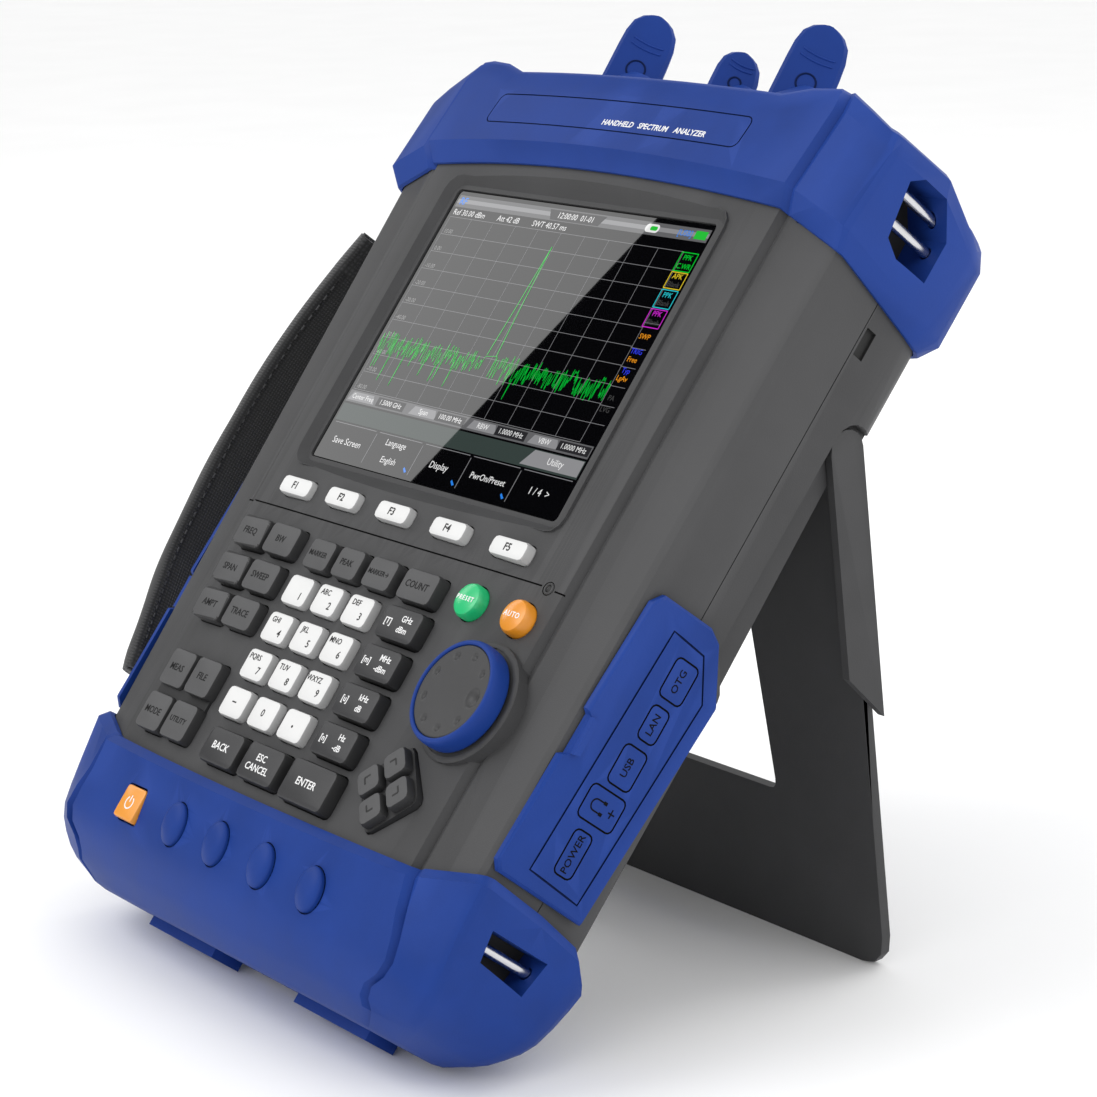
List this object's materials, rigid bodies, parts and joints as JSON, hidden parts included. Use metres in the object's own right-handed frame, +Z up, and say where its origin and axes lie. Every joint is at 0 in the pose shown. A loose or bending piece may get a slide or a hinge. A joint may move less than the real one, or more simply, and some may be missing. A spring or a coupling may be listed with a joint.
{
  "type": "handheld spectrum analyzer",
  "caption": "Handheld RF spectrum analyzer with rubber corner bumpers, keypad, jog dial, capped connectors, side strap, standing on its open kickstand.",
  "frame": {"origin": "middle of the footprint box of the standing instrument, on the floor", "axes": "+Z up, the display faces -Y and leans back, +X to the right as seen from the front"},
  "size_m": [0.2282, 0.19, 0.245],
  "materials": {
    "grey_plastic": "fine textured",
    "blue_rubber": "satin moulded",
    "steel": "bright",
    "display_glass": "polished",
    "circuit_board": "solder mask",
    "strap_fabric": "woven, padded",
    "black_plastic": "moulded",
    "dark_rubber": "matt silicone",
    "white_rubber": "matt silicone",
    "key_dark": "matt silicone",
    "key_preset": "satin silicone",
    "key_auto": "satin silicone",
    "key_power": "translucent silicone"
  },
  "bodies": {
    "instrument": {"bar_bottom_left": "steel", "bar_bottom_right": "steel", "bar_top_left": "steel", "bar_top_right": "steel", "battery_door": "grey_plastic", "battery_pack": "black_plastic", "bottom_bumper": "blue_rubber", "display_window": "display_glass", "encoder": "steel", "front_shell": "grey_plastic", "hand_strap": "strap_fabric", "keypad_mat": "dark_rubber", "lcd_module": "black_plastic", "main_board": "circuit_board", "port_panel": "black_plastic", "rear_shell": "grey_plastic", "rf_connector_left": "steel", "rf_connector_middle": "steel", "rf_connector_right": "steel", "top_bumper": "blue_rubber"},
    "key_0": {"key_0": "white_rubber"},
    "key_1": {"key_1": "white_rubber"},
    "key_2": {"key_2": "white_rubber"},
    "key_3": {"key_3": "white_rubber"},
    "key_4": {"key_4": "white_rubber"},
    "key_5": {"key_5": "white_rubber"},
    "key_6": {"key_6": "white_rubber"},
    "key_7": {"key_7": "white_rubber"},
    "key_8": {"key_8": "white_rubber"},
    "key_9": {"key_9": "white_rubber"},
    "key_arrows": {"key_arrows": "dark_rubber"},
    "key_auto": {"key_auto": "key_auto"},
    "key_back": {"key_back": "key_dark"},
    "key_enter": {"key_enter": "key_dark"},
    "key_escape": {"key_escape": "key_dark"},
    "key_f1": {"key_f1": "white_rubber"},
    "key_f2": {"key_f2": "white_rubber"},
    "key_f3": {"key_f3": "white_rubber"},
    "key_f4": {"key_f4": "white_rubber"},
    "key_f5": {"key_f5": "white_rubber"},
    "key_minus": {"key_minus": "white_rubber"},
    "key_pair_amplitude": {"key_pair_amplitude": "dark_rubber"},
    "key_pair_frequency": {"key_pair_frequency": "dark_rubber"},
    "key_pair_span": {"key_pair_span": "dark_rubber"},
    "key_point": {"key_point": "white_rubber"},
    "key_power": {"key_power": "key_power"},
    "key_preset": {"key_preset": "key_preset"},
    "key_quad_system": {"key_quad_system": "dark_rubber"},
    "key_row_marker": {"key_row_marker": "dark_rubber"},
    "key_unit_base": {"key_unit_base": "key_dark"},
    "key_unit_giga": {"key_unit_giga": "key_dark"},
    "key_unit_kilo": {"key_unit_kilo": "key_dark"},
    "key_unit_mega": {"key_unit_mega": "key_dark"},
    "kickstand": {"kickstand": "grey_plastic"},
    "jog_dial": {"jog_dial": "blue_rubber"},
    "rf_cap_left": {"rf_cap_left": "blue_rubber"},
    "rf_cap_middle": {"rf_cap_middle": "blue_rubber"},
    "rf_cap_right": {"rf_cap_right": "blue_rubber"},
    "port_cover_left": {"port_cover_left": "blue_rubber"},
    "port_cover_right": {"port_cover_right": "blue_rubber"}
  },
  "joints": [
    {"name": "kickstand_hinge", "type": "hinge", "parent": "instrument", "child": "kickstand", "pos_m": [0.01267, 0.04557, 0.14407], "axis": [-1, 0, 0], "range_deg": [0, 43.2]},
    {"name": "dial_turn", "type": "hinge", "parent": "instrument", "child": "jog_dial", "pos_m": [0.07567, -0.05178, 0.09002], "axis": [0, -0.7926, 0.6098], "continuous": true},
    {"name": "key_0_press", "type": "slide", "parent": "instrument", "child": "key_0", "axis": [0, 0.7926, -0.6098], "range_m": [0, 0.0012], "stiffness_N_per_m": 1500},
    {"name": "key_1_press", "type": "slide", "parent": "instrument", "child": "key_1", "axis": [0, 0.7926, -0.6098], "range_m": [0, 0.0012], "stiffness_N_per_m": 1500},
    {"name": "key_2_press", "type": "slide", "parent": "instrument", "child": "key_2", "axis": [0, 0.7926, -0.6098], "range_m": [0, 0.0012], "stiffness_N_per_m": 1500},
    {"name": "key_3_press", "type": "slide", "parent": "instrument", "child": "key_3", "axis": [0, 0.7926, -0.6098], "range_m": [0, 0.0012], "stiffness_N_per_m": 1500},
    {"name": "key_4_press", "type": "slide", "parent": "instrument", "child": "key_4", "axis": [0, 0.7926, -0.6098], "range_m": [0, 0.0012], "stiffness_N_per_m": 1500},
    {"name": "key_5_press", "type": "slide", "parent": "instrument", "child": "key_5", "axis": [0, 0.7926, -0.6098], "range_m": [0, 0.0012], "stiffness_N_per_m": 1500},
    {"name": "key_6_press", "type": "slide", "parent": "instrument", "child": "key_6", "axis": [0, 0.7926, -0.6098], "range_m": [0, 0.0012], "stiffness_N_per_m": 1500},
    {"name": "key_7_press", "type": "slide", "parent": "instrument", "child": "key_7", "axis": [0, 0.7926, -0.6098], "range_m": [0, 0.0012], "stiffness_N_per_m": 1500},
    {"name": "key_8_press", "type": "slide", "parent": "instrument", "child": "key_8", "axis": [0, 0.7926, -0.6098], "range_m": [0, 0.0012], "stiffness_N_per_m": 1500},
    {"name": "key_9_press", "type": "slide", "parent": "instrument", "child": "key_9", "axis": [0, 0.7926, -0.6098], "range_m": [0, 0.0012], "stiffness_N_per_m": 1500},
    {"name": "key_arrows_press", "type": "slide", "parent": "instrument", "child": "key_arrows", "axis": [0, 0.7926, -0.6098], "range_m": [0, 0.0012], "stiffness_N_per_m": 1500},
    {"name": "key_auto_press", "type": "slide", "parent": "instrument", "child": "key_auto", "axis": [0, 0.7926, -0.6098], "range_m": [0, 0.0012], "stiffness_N_per_m": 1500},
    {"name": "key_back_press", "type": "slide", "parent": "instrument", "child": "key_back", "axis": [0, 0.7926, -0.6098], "range_m": [0, 0.0012], "stiffness_N_per_m": 1500},
    {"name": "key_enter_press", "type": "slide", "parent": "instrument", "child": "key_enter", "axis": [0, 0.7926, -0.6098], "range_m": [0, 0.0012], "stiffness_N_per_m": 1500},
    {"name": "key_escape_press", "type": "slide", "parent": "instrument", "child": "key_escape", "axis": [0, 0.7926, -0.6098], "range_m": [0, 0.0012], "stiffness_N_per_m": 1500},
    {"name": "key_f1_press", "type": "slide", "parent": "instrument", "child": "key_f1", "axis": [0, 0.7926, -0.6098], "range_m": [0, 0.0012], "stiffness_N_per_m": 1500},
    {"name": "key_f2_press", "type": "slide", "parent": "instrument", "child": "key_f2", "axis": [0, 0.7926, -0.6098], "range_m": [0, 0.0012], "stiffness_N_per_m": 1500},
    {"name": "key_f3_press", "type": "slide", "parent": "instrument", "child": "key_f3", "axis": [0, 0.7926, -0.6098], "range_m": [0, 0.0012], "stiffness_N_per_m": 1500},
    {"name": "key_f4_press", "type": "slide", "parent": "instrument", "child": "key_f4", "axis": [0, 0.7926, -0.6098], "range_m": [0, 0.0012], "stiffness_N_per_m": 1500},
    {"name": "key_f5_press", "type": "slide", "parent": "instrument", "child": "key_f5", "axis": [0, 0.7926, -0.6098], "range_m": [0, 0.0012], "stiffness_N_per_m": 1500},
    {"name": "key_minus_press", "type": "slide", "parent": "instrument", "child": "key_minus", "axis": [0, 0.7926, -0.6098], "range_m": [0, 0.0012], "stiffness_N_per_m": 1500},
    {"name": "key_pair_amplitude_press", "type": "slide", "parent": "instrument", "child": "key_pair_amplitude", "axis": [0, 0.7926, -0.6098], "range_m": [0, 0.0012], "stiffness_N_per_m": 1500},
    {"name": "key_pair_frequency_press", "type": "slide", "parent": "instrument", "child": "key_pair_frequency", "axis": [0, 0.7926, -0.6098], "range_m": [0, 0.0012], "stiffness_N_per_m": 1500},
    {"name": "key_pair_span_press", "type": "slide", "parent": "instrument", "child": "key_pair_span", "axis": [0, 0.7926, -0.6098], "range_m": [0, 0.0012], "stiffness_N_per_m": 1500},
    {"name": "key_point_press", "type": "slide", "parent": "instrument", "child": "key_point", "axis": [0, 0.7926, -0.6098], "range_m": [0, 0.0012], "stiffness_N_per_m": 1500},
    {"name": "key_power_press", "type": "slide", "parent": "instrument", "child": "key_power", "axis": [0, 0.7926, -0.6098], "range_m": [0, 0.001], "stiffness_N_per_m": 1500},
    {"name": "key_preset_press", "type": "slide", "parent": "instrument", "child": "key_preset", "axis": [0, 0.7926, -0.6098], "range_m": [0, 0.0012], "stiffness_N_per_m": 1500},
    {"name": "key_quad_system_press", "type": "slide", "parent": "instrument", "child": "key_quad_system", "axis": [0, 0.7926, -0.6098], "range_m": [0, 0.0012], "stiffness_N_per_m": 1500},
    {"name": "key_row_marker_press", "type": "slide", "parent": "instrument", "child": "key_row_marker", "axis": [0, 0.7926, -0.6098], "range_m": [0, 0.0012], "stiffness_N_per_m": 1500},
    {"name": "key_unit_base_press", "type": "slide", "parent": "instrument", "child": "key_unit_base", "axis": [0, 0.7926, -0.6098], "range_m": [0, 0.0012], "stiffness_N_per_m": 1500},
    {"name": "key_unit_giga_press", "type": "slide", "parent": "instrument", "child": "key_unit_giga", "axis": [0, 0.7926, -0.6098], "range_m": [0, 0.0012], "stiffness_N_per_m": 1500},
    {"name": "key_unit_kilo_press", "type": "slide", "parent": "instrument", "child": "key_unit_kilo", "axis": [0, 0.7926, -0.6098], "range_m": [0, 0.0012], "stiffness_N_per_m": 1500},
    {"name": "key_unit_mega_press", "type": "slide", "parent": "instrument", "child": "key_unit_mega", "axis": [0, 0.7926, -0.6098], "range_m": [0, 0.0012], "stiffness_N_per_m": 1500},
    {"name": "rf_cap_left_pull", "type": "slide", "parent": "instrument", "child": "rf_cap_left", "axis": [0, 0.6098, 0.7926], "range_m": [0, 0.014]},
    {"name": "rf_cap_middle_pull", "type": "slide", "parent": "instrument", "child": "rf_cap_middle", "axis": [0, 0.6098, 0.7926], "range_m": [0, 0.014]},
    {"name": "rf_cap_right_pull", "type": "slide", "parent": "instrument", "child": "rf_cap_right", "axis": [0, 0.6098, 0.7926], "range_m": [0, 0.014]},
    {"name": "port_cover_right_hinge", "type": "hinge", "parent": "instrument", "child": "port_cover_right", "pos_m": [0.10637, -0.01235, 0.06877], "axis": [0.0287, 0.6095, 0.7922], "range_deg": [0, 110]},
    {"name": "port_cover_left_hinge", "type": "hinge", "parent": "instrument", "child": "port_cover_left", "pos_m": [-0.08103, -0.01235, 0.06877], "axis": [0.0287, -0.6095, -0.7922], "range_deg": [0, 8]}
  ]
}
